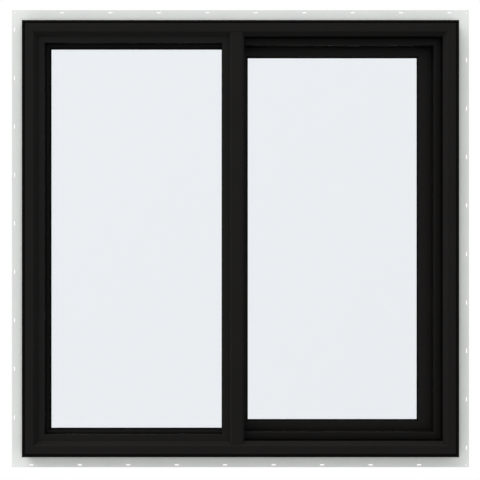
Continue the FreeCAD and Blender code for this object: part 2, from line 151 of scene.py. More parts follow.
class Shading:
    """A shader node tree, started empty."""

    def __init__(self, tree):
        self.tree = tree
        self.tree.nodes.clear()

    def join(self, socket, value):
        """Links a wire to a socket, or sets the socket to a plain value."""
        if isinstance(value, Wire):
            self.tree.links.new(value.socket, socket)
        elif hasattr(value, "__len__") and len(value) == 3 and len(socket.default_value) == 4:
            socket.default_value = (*value, 1.0)
        else:
            socket.default_value = value

    def node(self, kind, settings=None, sockets=None, output=0):
        """Any node: its type, its settings, which are set first, and its sockets' values or wires."""
        made = self.tree.nodes.new(kind)
        for key, value in (settings or {}).items():
            setattr(made, key, value)
        for key, value in (sockets or {}).items():
            self.join(made.inputs[key], value)
        return made if output is None else Wire(self, made.outputs[output])

    def maths(self, operation, *values):
        """One Math node on wires or plain numbers."""
        return self.node("ShaderNodeMath", {"operation": operation}, dict(enumerate(values)))

    def place(self):
        """Where a point lies on its own object."""
        return self.node("ShaderNodeTexCoord", output="Object")

    def parts(self, vector):
        """The x, y and z of a vector."""
        made = self.node("ShaderNodeSeparateXYZ", None, {0: vector}, None)
        return [Wire(self, output) for output in made.outputs]

    def stretch(self, vector, factors):
        """A vector times one factor for each axis."""
        sockets = {0: vector, 1: factors}
        return self.node("ShaderNodeVectorMath", {"operation": "MULTIPLY"}, sockets)

    def noise(self, vector, scale=1.0, detail=2.0, roughness=0.5):
        """Soft noise around one half. A larger scale makes it finer."""
        sockets = {"Vector": vector, "Scale": scale, "Detail": detail, "Roughness": roughness}
        return self.node("ShaderNodeTexNoise", None, sockets, "Fac")

    def ramp(self, value, low, high):
        """0 below low and 1 above high, smooth between."""
        settings = {"interpolation_type": "SMOOTHSTEP"}
        sockets = {"Value": value, "From Min": low, "From Max": high}
        return self.node("ShaderNodeMapRange", settings, sockets)

    def blend(self, factor, first, second):
        """From the first colour at 0 to the second at 1."""
        sockets = {"Factor": factor, "A": first, "B": second}
        return self.node("ShaderNodeMix", {"data_type": "RGBA"}, sockets, "Result")

    def dot(self, vector, direction):
        """Dot product of a vector with a fixed direction."""
        x, y, z = self.parts(vector)
        return x * direction[0] + y * direction[1] + z * direction[2]


class Finish(Shading):
    """A material made of nodes: one principled shader and whatever feeds it."""

    def __init__(self, name, **constants):
        self.material = bpy.data.materials.new(name)
        self.material.use_nodes = True
        super().__init__(self.material.node_tree)
        self.shader = self.tree.nodes.new("ShaderNodeBsdfPrincipled")
        output = self.tree.nodes.new("ShaderNodeOutputMaterial")
        self.tree.links.new(self.shader.outputs["BSDF"], output.inputs["Surface"])
        for name_of_socket, value in constants.items():
            self.feed(name_of_socket.replace("_", " ").title().replace("Ior", "IOR"), value)

    def feed(self, name, value):
        """Gives a wire or a plain value to one of the shader's sockets."""
        self.join(self.shader.inputs[name], value)

    def bump(self, height, strength, distance):
        """Fine relief, as deep as the distance where the height goes from 0 to 1."""
        sockets = {"Height": height, "Strength": strength, "Distance": distance}
        self.feed("Normal", self.node("ShaderNodeBump", None, sockets))


def mitre_lines(finish, place, rectangle, width):
    """1 on the 45 degree corner joints of a rectangle (centre x, centre z, half width, half height)."""
    x, _, z = finish.parts(place)
    centre_x, centre_z, half_width, half_height = rectangle
    from_side = half_width - abs(x - centre_x)
    from_end = half_height - abs(z - centre_z)
    core = width * 0.3
    return 1 - finish.ramp(abs(from_side - from_end), core, width)


def extruded_profile(name, looks, rectangle, along, share):
    """Dark coloured plastic bar: fine die lines along the bar, a faint skin and a welded corner."""
    # A share below 1 dims this finish's colour and reflection: painted shade for bars that sit in shadow
    finish = Finish(name, specular_ior_level=looks.profile_specular * share)
    place = finish.place()
    lengthwise, crosswise = 4.0, 700.0
    scales = (lengthwise, crosswise, crosswise) if along else (crosswise, crosswise, lengthwise)
    lines = finish.noise(finish.stretch(place, scales), detail=3.0, roughness=0.6)
    skin = finish.noise(place, scale=2400.0)
    haze = finish.noise(place, scale=9.0, detail=4.0, roughness=0.55)
    weld = mitre_lines(finish, place, rectangle, looks.weld_width)
    shade = finish.ramp(haze * 0.75 + lines * 0.25, low=0.35, high=0.65)
    # Each colour is scaled by the share, so a share below 1 paints shade into the colour
    plain, pale, seam = (
        [channel * share for channel in colour]
        for colour in (looks.profile_colour, looks.profile_haze, looks.profile_weld)
    )
    finish.feed("Base Color", finish.blend(weld * 0.35, finish.blend(shade, plain, pale), seam))
    finish.feed("Roughness", looks.profile_roughness - 0.05 + lines * 0.06 + haze * 0.06 + weld * 0.1)
    finish.bump(lines * 0.5 + skin * 0.4 - weld * 1.5, strength=0.35, distance=0.00006)
    return finish.material


def fin_plastic(looks):
    """Pale uncoated plastic of the nail fin, with faint flow marks and handling scuffs."""
    finish = Finish("pale_fin_plastic", specular_ior_level=0.25)
    place = finish.place()
    flow = finish.noise(finish.stretch(place, (14.0, 14.0, 14.0)), detail=5.0, roughness=0.6)
    grain = finish.noise(place, scale=1500.0)
    rubs = finish.noise(finish.stretch(place, (60.0, 60.0, 190.0)), detail=4.0, roughness=0.7)
    scuff = finish.ramp(rubs, low=0.66, high=0.78)
    colour = finish.blend(finish.ramp(flow, low=0.3, high=0.7), looks.fin_colour, looks.fin_shade)
    finish.feed("Base Color", finish.blend(scuff * 0.25, colour, looks.fin_scuff))
    finish.feed("Roughness", 0.46 + flow * 0.12 + scuff * 0.15)
    finish.bump(grain * 0.6 + flow * 0.4, strength=0.25, distance=0.00008)
    return finish.material


def clear_glass(looks):
    """Flat glass with a faint cool tint and the slightest haze of handling."""
    finish = Finish("clear_glass", transmission_weight=1.0, ior=1.5, specular_ior_level=0.5)
    place = finish.place()
    film = finish.noise(finish.stretch(place, (7.0, 7.0, 3.0)), detail=4.0, roughness=0.6)
    finish.feed("Base Color", finish.blend(film, looks.glass_tint, looks.glass_tint_deep))
    finish.feed("Roughness", finish.ramp(film, low=0.55, high=0.95) * 0.012)
    return finish.material


def gasket_rubber(looks):
    """Black rubber with a fine grain and the pale bloom that it gets in places."""
    finish = Finish("glazing_rubber", specular_ior_level=0.08)
    place = finish.place()
    grain = finish.noise(place, scale=900.0, detail=3.0, roughness=0.6)
    bloom = finish.noise(place, scale=30.0, detail=3.0)
    finish.feed("Base Color", finish.blend(bloom, looks.rubber_colour, looks.rubber_bloom))
    finish.feed("Roughness", 0.62 + grain * 0.2)
    finish.bump(grain, strength=0.3, distance=0.0001)
    return finish.material


def spacer_foam(looks):
    """Dark edge spacer between the panes, with its closed skin."""
    finish = Finish("spacer_bar", specular_ior_level=0.3)
    place = finish.place()
    to_edge = {"feature": "DISTANCE_TO_EDGE"}
    cells = finish.node("ShaderNodeTexVoronoi", to_edge, {"Vector": place, "Scale": 1100.0})
    tone = finish.noise(place, scale=120.0, detail=3.0, roughness=0.6)
    finish.feed("Base Color", finish.blend(tone, looks.spacer_colour, looks.spacer_pale))
    finish.feed("Roughness", 0.55 + tone * 0.2)
    finish.bump(finish.ramp(cells, low=0.0, high=0.2), strength=0.3, distance=0.0001)
    return finish.material


def drawn_aluminium(looks):
    """Bare metal with its draw lines, polished in places by what slides on it."""
    finish = Finish("drawn_aluminium", metallic=1.0)
    place = finish.place()
    lines = finish.noise(finish.stretch(place, (3.0, 1500.0, 1500.0)), detail=3.0, roughness=0.6)
    rubs = finish.noise(finish.stretch(place, (25.0, 200.0, 200.0)), detail=3.0, roughness=0.6)
    polish = finish.ramp(rubs, low=0.45, high=0.75)
    finish.feed("Base Color", finish.blend(polish, looks.metal_colour, looks.metal_polish))
    finish.feed("Roughness", 0.38 - polish * 0.12 + lines * 0.1)
    finish.bump(lines, strength=0.25, distance=0.00005)
    return finish.material


def moulded_plastic(name, colour, pale, roughness):
    """Injection moulded plastic with a fine spark-eroded texture."""
    finish = Finish(name, specular_ior_level=0.35)
    place = finish.place()
    spark = finish.noise(place, scale=1700.0, detail=3.0, roughness=0.6)
    tone = finish.noise(place, scale=60.0, detail=3.0)
    finish.feed("Base Color", finish.blend(tone, colour, pale))
    finish.feed("Roughness", roughness + spark * 0.12)
    finish.bump(spark, strength=0.3, distance=0.00008)
    return finish.material


def coated_metal(name, colour, rubbed):
    """Cast metal with a thin dark coating, rubbed a little brighter where it is handled."""
    finish = Finish(name, specular_ior_level=0.4)
    place = finish.place()
    peel = finish.noise(place, scale=1300.0)
    rub = finish.ramp(finish.noise(place, scale=90.0, detail=4.0, roughness=0.6), low=0.5, high=0.8)
    finish.feed("Base Color", finish.blend(rub, colour, rubbed))
    finish.feed("Roughness", 0.4 - rub * 0.1 + peel * 0.08)
    finish.feed("Metallic", rub * 0.25)
    finish.bump(peel, strength=0.25, distance=0.00008)
    return finish.material


def brush_fibre(looks):
    """Dull dark fibres, each a little lighter or darker than the next."""
    finish = Finish("brush_fibre", specular_ior_level=0.1)
    tone = finish.noise(finish.place(), scale=1200.0)
    finish.feed("Base Color", finish.blend(tone, looks.fibre_colour, looks.fibre_pale))
    finish.feed("Roughness", 0.7 + tone * 0.2)
    return finish.material


def zinc_screw(looks):
    """Zinc plated steel with its cloudy tone."""
    finish = Finish("screw_steel", metallic=1.0)
    tone = finish.noise(finish.place(), scale=700.0, detail=3.0, roughness=0.6)
    finish.feed("Base Color", finish.blend(tone, looks.screw_colour, looks.screw_pale))
    finish.feed("Roughness", 0.32 + tone * 0.2)
    finish.bump(tone, strength=0.2, distance=0.00005)
    return finish.material


def dress(node_names, material):
    """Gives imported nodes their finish."""
    for name in node_names:
        data = frame["nodes"][name].data
        data.materials.clear()
        data.materials.append(material)


def dress_bars(looks, rectangle, rows):
    """Dresses bars in rows of material name, nodes, whether they lie level, and share of the full colour,
    below 1 for painted shade.
    """
    for label, node_names, along, share in rows:
        dress(node_names, extruded_profile(label, looks, rectangle, along, share))


def rectangle_of(*node_names):
    """Centre and half sizes, in x and z, of the rectangle that holds some nodes."""
    boxes = [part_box(name) for name in node_names]
    low = [min(box[0][i] for box in boxes) for i in range(3)]
    high = [max(box[1][i] for box in boxes) for i in range(3)]
    return (
        (low[0] + high[0]) / 2, (low[2] + high[2]) / 2,
        (high[0] - low[0]) / 2, (high[2] - low[2]) / 2,
    )


def new_object(name, data):
    """An object in the scene for some data, at the origin."""
    made = bpy.data.objects.new(name, data)
    bpy.context.scene.collection.objects.link(made)
    return made


def baked(source, name):
    """A plain mesh object from an object's modifiers, in place of it."""
    graph = bpy.context.evaluated_depsgraph_get()
    mesh = bpy.data.meshes.new_from_object(source.evaluated_get(graph), depsgraph=graph)
    mesh.name = name
    bpy.data.objects.remove(source)
    return new_object(name, mesh)


class NodeTree:
    """A Geometry Nodes tree with named inputs, built from one geometry to one geometry."""

    def __init__(self, name, inputs):
        self.tree = bpy.data.node_groups.new(name, "GeometryNodeTree")
        self.ids = {}
        self.tree.interface.new_socket("Geometry", in_out="INPUT", socket_type="NodeSocketGeometry")
        self.tree.interface.new_socket("Geometry", in_out="OUTPUT", socket_type="NodeSocketGeometry")
        for label, kind in inputs:
            item = self.tree.interface.new_socket(label, in_out="INPUT", socket_type=kind)
            self.ids[label] = item.identifier
        self.start = self.tree.nodes.new("NodeGroupInput")
        self.end = self.tree.nodes.new("NodeGroupOutput")

    def node(self, kind, settings=None, sockets=None):
        """Any node: its type, its settings, which are set first, and its sockets' values or links."""
        made = self.tree.nodes.new(kind)
        for key, value in (settings or {}).items():
            setattr(made, key, value)
        for key, value in (sockets or {}).items():
            if hasattr(value, "is_linked"):
                self.tree.links.new(value, made.inputs[key])
            else:
                made.inputs[key].default_value = value
        return made

    def finish(self, geometry, material):
        """Makes instances real, gives them a material and ends the tree."""
        real = self.node("GeometryNodeRealizeInstances", None, {0: geometry})
        dressed = self.node("GeometryNodeSetMaterial", None, {0: real.outputs[0], "Material": material})
        self.tree.links.new(dressed.outputs[0], self.end.inputs[0])

    def apply(self, target, values, name):
        """Runs the tree on an object with these input values and returns the plain result."""
        modifier = target.modifiers.new("shape", "NODES")
        modifier.node_group = self.tree
        for label, value in values.items():
            modifier[self.ids[label]] = value
        return baked(target, name)


def brush_tree(material):
    """Fibres that stand on a strip, each a thin tapered spike."""
    made = NodeTree("brush", [
        ("Density", "NodeSocketFloat"), ("Fibre length", "NodeSocketFloat"),
        ("Fibre radius", "NodeSocketFloat"), ("Tip radius", "NodeSocketFloat"),
        ("Shortest", "NodeSocketFloat"), ("Seed", "NodeSocketInt"),
    ])
    inputs = made.start.outputs
    points = made.node("GeometryNodeDistributePointsOnFaces", {"distribute_method": "RANDOM"}, {
        "Mesh": inputs["Geometry"], "Density": inputs["Density"], "Seed": inputs["Seed"],
    })
    fibre = made.node("GeometryNodeMeshCone", {"fill_type": "NONE"}, {
        "Vertices": 3, "Side Segments": 1, "Radius Top": inputs["Tip radius"],
        "Radius Bottom": inputs["Fibre radius"], "Depth": inputs["Fibre length"],
    })
    height = made.node("FunctionNodeRandomValue", {"data_type": "FLOAT"}, {
        "Min": inputs["Shortest"], "Max": 1.0, "Seed": inputs["Seed"],
    })
    stretch = made.node("ShaderNodeCombineXYZ", None, {"X": 1.0, "Y": 1.0, "Z": height.outputs["Value"]})
    placed = made.node("GeometryNodeInstanceOnPoints", None, {
        "Points": points.outputs["Points"], "Instance": fibre.outputs["Mesh"],
        "Rotation": points.outputs["Rotation"], "Scale": stretch.outputs[0],
    })
    made.finish(placed.outputs[0], material)
    return made


def pile_strips():
    """Low and high corners of each strip of the pile seals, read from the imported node."""
    mesh = bmesh.new()
    mesh.from_mesh(frame["nodes"]["pile_seals"].data)
    bmesh.ops.remove_doubles(mesh, verts=mesh.verts, dist=MERGE_DISTANCE)
    left = set(mesh.verts)
    strips = []
    while left:
        stack = [left.pop()]
        island = list(stack)
        while stack:
            for edge in stack.pop().link_edges:
                for vert in edge.verts:
                    if vert in left:
                        left.discard(vert)
                        stack.append(vert)
                        island.append(vert)
        low = Vector([min(v.co[i] for v in island) for i in range(3)])
        high = Vector([max(v.co[i] for v in island) for i in range(3)])
        strips.append((low, high))
    mesh.free()
    return sorted(strips, key=lambda strip: tuple(strip[0]))


class WindowLooks(bpy.types.PropertyGroup):
    """Finishes that a user would change."""

    profile_colour: FloatVectorProperty(
        name="Profile colour", description="Colour of the dark plastic bars",
        subtype="COLOR", size=3, default=(0.0043, 0.0035, 0.0031), min=0.0, max=1.0,
    )
    profile_haze: FloatVectorProperty(
        name="Profile haze", description="Slightly paler patches of the dark plastic",
        subtype="COLOR", size=3, default=(0.0050, 0.0042, 0.0038), min=0.0, max=1.0,
    )
    profile_weld: FloatVectorProperty(
        name="Weld colour", description="Colour of the trimmed weld at the corners",
        subtype="COLOR", size=3, default=(0.0066, 0.0056, 0.0052), min=0.0, max=1.0,
    )
    profile_specular: FloatProperty(
        name="Profile specular", description="Strength of the mirror-like part of the bars' reflection",
        subtype="FACTOR", default=0.3, min=0.0, max=1.0,
    )
    profile_roughness: FloatProperty(
        name="Profile roughness", description="Roughness of the dark plastic",
        subtype="FACTOR", default=0.42, min=0.0, max=1.0,
    )
    # Painted shade: the beads sit in the recess under the panel's flange, so their colour and reflection
    # are dimmed here
    bead_painted_shade: FloatProperty(
        name="Bead painted shade", description="How light the outside glazing beads are beside the bars",
        subtype="FACTOR", default=0.62, min=0.0, max=1.0,
    )
    # Painted shade: the covers sit under the frame's lip, so their colour and reflection are dimmed here
    cover_painted_shade: FloatProperty(
        name="Cover painted shade", description="How light the covers of the outer track are beside the bars",
        subtype="FACTOR", default=0.8, min=0.0, max=1.0,
    )
    weld_width: FloatProperty(
        name="Weld width", description="Half width of the line left by the corner weld",
        subtype="DISTANCE", unit="LENGTH", default=0.0003, min=0.0,
    )
    fin_colour: FloatVectorProperty(
        name="Fin colour", description="Colour of the nail fin",
        subtype="COLOR", size=3, default=(0.665, 0.68, 0.665), min=0.0, max=1.0,
    )
    fin_shade: FloatVectorProperty(
        name="Fin shade", description="Slightly darker flow marks in the nail fin",
        subtype="COLOR", size=3, default=(0.64, 0.655, 0.643), min=0.0, max=1.0,
    )
    fin_scuff: FloatVectorProperty(
        name="Fin scuffs", description="Handling marks on the nail fin",
        subtype="COLOR", size=3, default=(0.52, 0.53, 0.52), min=0.0, max=1.0,
    )
    glass_tint: FloatVectorProperty(
        name="Glass tint", description="Colour that light takes in one pane",
        subtype="COLOR", size=3, default=(0.959, 0.9765, 0.994), min=0.0, max=1.0,
    )
    glass_tint_deep: FloatVectorProperty(
        name="Glass tint, deep", description="Colour of the pane where its film is thickest",
        subtype="COLOR", size=3, default=(0.955, 0.9725, 0.991), min=0.0, max=1.0,
    )
    rubber_colour: FloatVectorProperty(
        name="Rubber colour", description="Colour of the glazing rubber and the track stops",
        subtype="COLOR", size=3, default=(0.0016, 0.0016, 0.0016), min=0.0, max=1.0,
    )
    rubber_bloom: FloatVectorProperty(
        name="Rubber bloom", description="Colour of the rubber where it has bloomed",
        subtype="COLOR", size=3, default=(0.0034, 0.0034, 0.0034), min=0.0, max=1.0,
    )
    spacer_colour: FloatVectorProperty(
        name="Spacer colour", description="Colour of the spacer between the panes",
        subtype="COLOR", size=3, default=(0.01, 0.01, 0.011), min=0.0, max=1.0,
    )
    spacer_pale: FloatVectorProperty(
        name="Spacer colour, pale", description="Colour of the spacer where it is palest",
        subtype="COLOR", size=3, default=(0.022, 0.022, 0.024), min=0.0, max=1.0,
    )
    metal_colour: FloatVectorProperty(
        name="Metal colour", description="Colour of the sill rail and the keeper",
        subtype="COLOR", size=3, default=(0.5, 0.51, 0.52), min=0.0, max=1.0,
    )
    metal_polish: FloatVectorProperty(
        name="Metal colour, polished", description="Colour of the bare metal where it is rubbed",
        subtype="COLOR", size=3, default=(0.66, 0.67, 0.68), min=0.0, max=1.0,
    )
    block_colour: FloatVectorProperty(
        name="Roller block colour", description="Colour of the roller housings and guide shoes",
        subtype="COLOR", size=3, default=(0.03, 0.03, 0.031), min=0.0, max=1.0,
    )
    block_pale: FloatVectorProperty(
        name="Roller block colour, pale", description="Colour of the blocks where they are palest",
        subtype="COLOR", size=3, default=(0.045, 0.045, 0.046), min=0.0, max=1.0,
    )
    wheel_colour: FloatVectorProperty(
        name="Wheel colour", description="Colour of the roller wheels",
        subtype="COLOR", size=3, default=(0.66, 0.66, 0.62), min=0.0, max=1.0,
    )
    wheel_pale: FloatVectorProperty(
        name="Wheel colour, pale", description="Colour of the wheels where they are palest",
        subtype="COLOR", size=3, default=(0.74, 0.74, 0.7), min=0.0, max=1.0,
    )
    lock_colour: FloatVectorProperty(
        name="Lock colour", description="Colour of the sash lock's coating",
        subtype="COLOR", size=3, default=(0.011, 0.011, 0.011), min=0.0, max=1.0,
    )
    lock_rubbed: FloatVectorProperty(
        name="Lock colour, rubbed", description="Colour of the coating where it is handled",
        subtype="COLOR", size=3, default=(0.03, 0.03, 0.031), min=0.0, max=1.0,
    )
    fibre_colour: FloatVectorProperty(
        name="Fibre colour", description="Colour of the brush seals",
        subtype="COLOR", size=3, default=(0.0022, 0.0022, 0.0022), min=0.0, max=1.0,
    )
    fibre_pale: FloatVectorProperty(
        name="Fibre colour, pale", description="Colour of the palest fibres",
        subtype="COLOR", size=3, default=(0.0058, 0.0057, 0.0055), min=0.0, max=1.0,
    )
    screw_colour: FloatVectorProperty(
        name="Screw colour", description="Colour of the screws' zinc",
        subtype="COLOR", size=3, default=(0.36, 0.36, 0.37), min=0.0, max=1.0,
    )
    screw_pale: FloatVectorProperty(
        name="Screw colour, pale", description="Colour of the zinc where it is palest",
        subtype="COLOR", size=3, default=(0.58, 0.58, 0.57), min=0.0, max=1.0,
    )


class WindowSizes(bpy.types.PropertyGroup):
    """Sizes of the small pieces that are made here."""

    fibre_density: FloatProperty(
        name="Fibre density", description="Fibres on each square metre of the brush seals",
        default=1.5e6, min=0.0,
    )
    fibre_radius: FloatProperty(
        name="Fibre radius", description="Radius at the foot of each fibre",
        subtype="DISTANCE", unit="LENGTH", default=0.00022, min=0.0,
    )
    fibre_tip_radius: FloatProperty(
        name="Fibre tip radius", description="Radius at the tip of each fibre",
        subtype="DISTANCE", unit="LENGTH", default=0.00003, min=0.0,
    )
    fibre_shortest: FloatProperty(
        name="Shortest fibre", description="Length of the shortest fibre beside the longest",
        subtype="FACTOR", default=0.82, min=0.0, max=1.0,
    )
    fibre_backing: FloatProperty(
        name="Backing thickness", description="Thickness of the woven strip that carries the fibres",
        subtype="DISTANCE", unit="LENGTH", default=0.0009, min=0.0,
    )
    backing_bevel: FloatProperty(
        name="Backing bevel", description="Bevel along the edges of the woven strip",
        subtype="DISTANCE", unit="LENGTH", default=0.00025, min=0.0,
    )
    fibre_seed: IntProperty(name="Fibre seed", description="Seed of the fibres' places", default=11)
    screw_radius: FloatProperty(
        name="Screw head radius", description="Radius of the pan heads",
        subtype="DISTANCE", unit="LENGTH", default=0.0034, min=0.0,
    )
    screw_height: FloatProperty(
        name="Screw head height", description="Height of the pan heads",
        subtype="DISTANCE", unit="LENGTH", default=0.0018, min=0.0,
    )
    lock_screw_inset: FloatProperty(
        name="Lock screw inset",
        description="From the base's lower end to its screw, as a share of the base's width",
        subtype="FACTOR", default=0.42, min=0.0, max=1.0,
    )
    keeper_screw_radius: FloatProperty(
        name="Keeper screw radius", description="Radius of the flat heads in the lock's keeper",
        subtype="DISTANCE", unit="LENGTH", default=0.0022, min=0.0,
    )
    keeper_screw_height: FloatProperty(
        name="Keeper screw height", description="Height of the flat heads in the lock's keeper",
        subtype="DISTANCE", unit="LENGTH", default=0.0007, min=0.0,
    )
    keeper_screw_inset: FloatProperty(
        name="Keeper screw inset", description="From the keeper's end to its screw",
        subtype="DISTANCE", unit="LENGTH", default=0.008, min=0.0,
    )
    jamb_screws: IntProperty(
        name="Screws in each jamb", description="Fixing screws in the inner track of each jamb",
        default=3, min=1,
    )
    screw_seed: IntProperty(
        name="Screw seed", description="Seed of the way that each screw is turned", default=5,
    )


class StudioSettings(bpy.types.PropertyGroup):
    """Camera and light."""

    camera_distance: FloatProperty(
        name="Camera distance", description="From the window's outside face",
        subtype="DISTANCE", unit="LENGTH", default=1.95, min=0.1,
    )
    camera_offset: FloatVectorProperty(
        name="Camera offset", description="From the window's middle, across and up",
        subtype="XYZ", unit="LENGTH", size=2, default=(-0.001, -0.0028),
    )
    camera_lens: FloatProperty(
        name="Lens", description="Focal length on a 36 mm wide sensor",
        subtype="DISTANCE_CAMERA", unit="CAMERA", default=71.0, min=1.0,
    )
    wall_light: FloatProperty(
        name="Studio walls", description="Light that the studio's walls give to what they face",
        default=1.0, min=0.0,
    )
    wall_gloss: FloatProperty(
        name="Studio walls in reflections", description="How bright the studio's walls look in gloss",
        default=0.31, min=0.0,
    )
    wall_gloss_slope: FloatProperty(
        name="Slope in reflections", description="How much brighter that gets towards the sheen's side",
        default=0.2, min=0.0,
    )
    side_gloss: FloatProperty(
        name="Sides in reflections", description="How much brighter the studio's sides look in gloss",
        default=0.07, min=0.0,
    )
    room_gloss: FloatProperty(
        name="Room side in reflections",
        description="How much brighter the wall on the room side looks in gloss",
        default=0.2, min=0.0,
    )
    sheen_from: FloatVectorProperty(
        name="Sheen from", description="Direction in which the studio's walls look brightest in gloss",
        subtype="DIRECTION", size=3, default=(-0.6, 0.0, 0.8),
    )
    key_from: FloatVectorProperty(
        name="Key light from", description="Direction that the key light comes from",
        subtype="DIRECTION", size=3, default=(-0.40, -0.45, 0.70),
    )
    key_power: FloatProperty(
        name="Key light power", description="Light of the key lamp on a surface square to it",
        subtype="POWER", default=1.87, min=0.0,
    )
    key_spread: FloatProperty(
        name="Key light spread", description="Angle across the key light, as seen from the window",
        subtype="ANGLE", unit="ROTATION", default=math.radians(50.0), min=0.0, max=math.pi,
    )
    sill_height: FloatProperty(
        name="Height above the floor", description="From the floor to the window's lower edge",
        subtype="DISTANCE", unit="LENGTH", default=0.9, min=0.0,
    )
    floor_radius: FloatProperty(
        name="Floor radius", description="Radius of the round floor",
        subtype="DISTANCE", unit="LENGTH", default=2.4, min=0.1,
    )
    floor_colour: FloatVectorProperty(
        name="Floor colour", description="Colour of the pale floor",
        subtype="COLOR", size=3, default=(0.63, 0.63, 0.63), min=0.0, max=1.0,
    )
    floor_pale: FloatVectorProperty(
        name="Floor colour, pale", description="Colour of the floor where it is palest",
        subtype="COLOR", size=3, default=(0.65, 0.65, 0.65), min=0.0, max=1.0,
    )


class WINDOW_OT_dress_frame(bpy.types.Operator):
    """Finish the frame, the nail fin and the covers of the tracks"""

    bl_idname = "window.dress_frame"
    bl_label = "Dress the frame"

    def execute(self, context):
        looks = context.scene.window_looks
        dress_bars(looks, rectangle_of("frame_head", "frame_sill"), (
            ("frame_plastic_along", FRAME_BARS_ALONG + ["head_guide"], True, 1.0),
            ("frame_plastic_up", FRAME_BARS_UP, False, 1.0),
            # The covers get painted shade: a dimmer copy of the bars' finish
            ("cover_plastic_painted_shade_along", COVER_BARS_ALONG, True, looks.cover_painted_shade),
            ("cover_plastic_painted_shade_up", COVER_BARS_UP, False, looks.cover_painted_shade),
        ))
        dress(FINS, fin_plastic(looks))
        return {"FINISHED"}


class WINDOW_OT_dress_fixed_panel(bpy.types.Operator):
    """Finish the fixed panel's bars, its beads and the centre mullion"""

    bl_idname = "window.dress_fixed_panel"
    bl_label = "Dress the fixed panel"

    def execute(self, context):
        looks = context.scene.window_looks
        dress_bars(looks, rectangle_of("frame_head", "frame_sill"), (
            ("panel_plastic_along", PANEL_BARS_ALONG, True, 1.0),
            ("panel_plastic_up", PANEL_BARS_UP, False, 1.0),
            # The beads get painted shade: a dimmer copy of the bars' finish
            ("bead_plastic_painted_shade_along", FIXED_BEADS_ALONG, True, looks.bead_painted_shade),
            ("bead_plastic_painted_shade_up", FIXED_BEADS_UP, False, looks.bead_painted_shade),
        ))
        return {"FINISHED"}


class WINDOW_OT_dress_sash(bpy.types.Operator):
    """Finish the sash's bars, beads, rollers, guides and lock"""

    bl_idname = "window.dress_sash"
    bl_label = "Dress the sash"

    def execute(self, context):
        looks = context.scene.window_looks
        dress_bars(looks, rectangle_of("sash_top_rail", "sash_bottom_rail"), (
            ("sash_plastic_along", SASH_BARS_ALONG, True, 1.0),
            ("sash_plastic_up", SASH_BARS_UP, False, 1.0),
        ))
        block = moulded_plastic("roller_block_plastic", looks.block_colour, looks.block_pale, 0.45)
        wheel = moulded_plastic("roller_wheel_plastic", looks.wheel_colour, looks.wheel_pale, 0.3)
        lock = coated_metal("lock_coating", looks.lock_colour, looks.lock_rubbed)
        dress(ROLLER_BLOCKS, block)
        dress(["roller_wheels"], wheel)
        dress(LOCK_PARTS, lock)
        return {"FINISHED"}


class WINDOW_OT_dress_glazing(bpy.types.Operator):
    """Finish the panes, the spacers between them, the glazing rubber and the rubber stops"""

    bl_idname = "window.dress_glazing"
    bl_label = "Dress the glazing"

    def execute(self, context):
        looks = context.scene.window_looks
        dress(PANES, clear_glass(looks))
        dress(RUBBERS, gasket_rubber(looks))
        dress(SPACERS, spacer_foam(looks))
        return {"FINISHED"}


class WINDOW_OT_dress_metal(bpy.types.Operator):
    """Finish the sill rail and the lock keeper"""

    bl_idname = "window.dress_metal"
    bl_label = "Dress the metal"

    def execute(self, context):
        dress(BARE_METALS, drawn_aluminium(context.scene.window_looks))
        return {"FINISHED"}


class WINDOW_OT_brush_seals(bpy.types.Operator):
    """Make the brush seals that wipe the sash's outside face"""

    bl_idname = "window.brush_seals"
    bl_label = "Brush seals"

    def execute(self, context):
        sizes = context.scene.window_sizes
        strips = pile_strips()
        if not strips:
            raise RuntimeError("the pile seals' node is empty")
        material = brush_fibre(context.scene.window_looks)
        front = min(low.y for low, _ in strips)
        back = max(high.y for _, high in strips)
        foot = front + sizes.fibre_backing
        fibres = brush_tree(material).apply(self.base(strips, foot, sizes.fibre_radius), {
            "Density": sizes.fibre_density, "Fibre length": back - foot,
            "Fibre radius": sizes.fibre_radius, "Tip radius": sizes.fibre_tip_radius,
            "Shortest": sizes.fibre_shortest, "Seed": sizes.fibre_seed,
        }, "brush_fibres")
        backing = self.backing(strips, front, foot, sizes.backing_bevel)
        backing.data.materials.append(material)
        for piece in (fibres, backing):
            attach(piece, "frame")
        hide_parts("pile_seals")
        return {"FINISHED"}

    def base(self, strips, foot, margin):
        """Rectangles that face into the room, one for each strip, for the fibres to stand on."""
        mesh = bmesh.new()
        for low, high in strips:
            left, right = low.x + margin, high.x - margin
            bottom, top = low.z + margin, high.z - margin
            corners = ((left, bottom), (left, top), (right, top), (right, bottom))
            mesh.faces.new([mesh.verts.new((x, foot, z)) for x, z in corners])
        data = bpy.data.meshes.new("brush_base")
        mesh.to_mesh(data)
        mesh.free()
        return new_object("brush_base", data)

    def backing(self, strips, front, foot, bevel):
        """Woven strips with softened edges that carry the fibres."""
        mesh = bmesh.new()
        for low, high in strips:
            size = Vector((high.x - low.x, foot - front, high.z - low.z))
            centre = Vector(((low.x + high.x) / 2, (front + foot) / 2, (low.z + high.z) / 2))
            matrix = Matrix.Translation(centre) @ Matrix.Diagonal((*size, 1.0))
            bmesh.ops.create_cube(mesh, size=1.0, matrix=matrix)
        bmesh.ops.bevel(mesh, geom=list(mesh.edges), offset=bevel, segments=2, affect="EDGES")
        data = bpy.data.meshes.new("brush_backing")
        mesh.to_mesh(data)
        mesh.free()
        return new_object("brush_backing", data)


